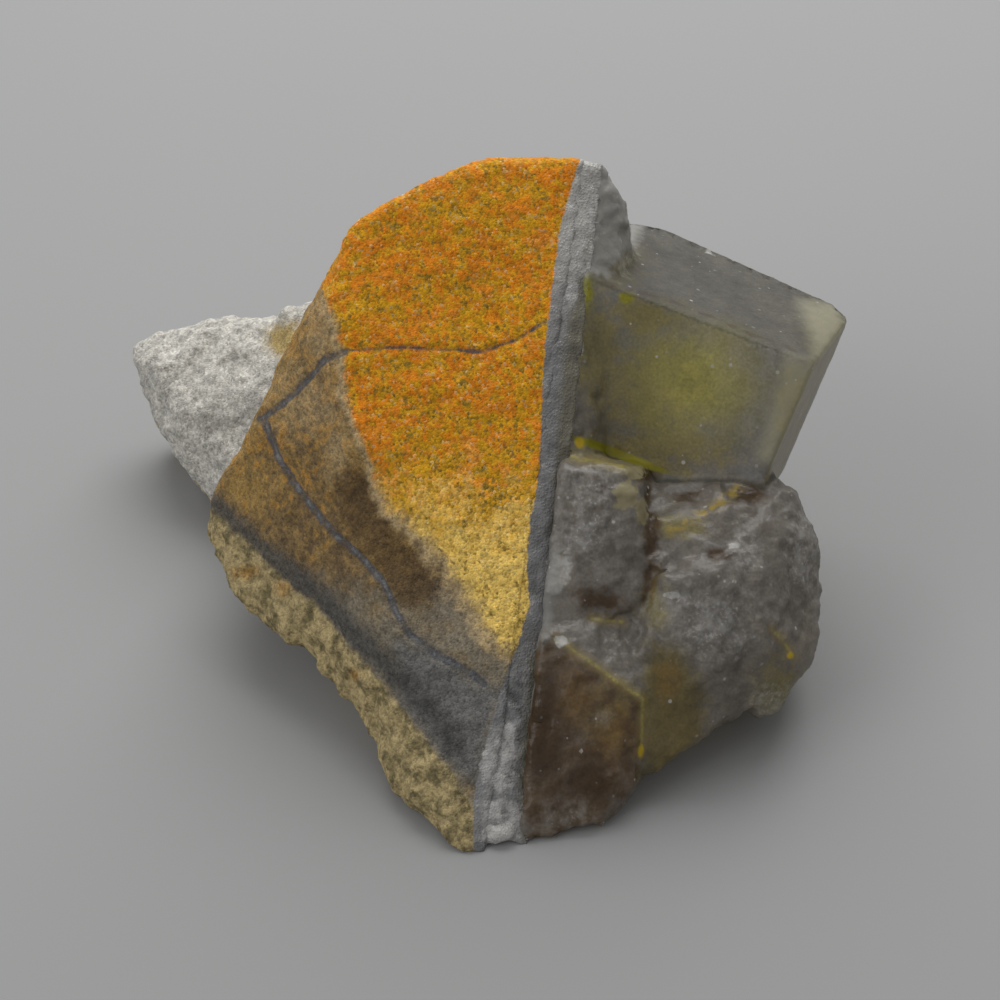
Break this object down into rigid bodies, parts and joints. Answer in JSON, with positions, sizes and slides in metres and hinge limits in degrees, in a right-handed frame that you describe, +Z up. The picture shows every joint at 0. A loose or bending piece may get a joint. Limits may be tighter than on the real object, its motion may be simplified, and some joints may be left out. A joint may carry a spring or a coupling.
{
  "type": "zoned fluorite on matrix",
  "caption": "Loose hand specimen of zoned yellow-green fluorite crystals on a quartz crust and a block of stained sandstone, which lies on its flat broken foot.",
  "frame": {"origin": "bottom centre of the specimen's box, on the surface that it lies on", "axes": "+X from the stone to the crystals, +Y to the back, +Z up"},
  "size_m": [0.0695, 0.0648, 0.0406],
  "materials": {
    "sandstone": "grainy broken stone, stained orange",
    "quartz": "fine grey quartz, slightly waxy",
    "fluorite": "see-through crystal with frosted faces"
  },
  "bodies": {
    "root": {"sandstone_matrix": "sandstone", "quartz_band": "quartz", "fluorite_crystals": "fluorite"}
  },
  "joints": []
}
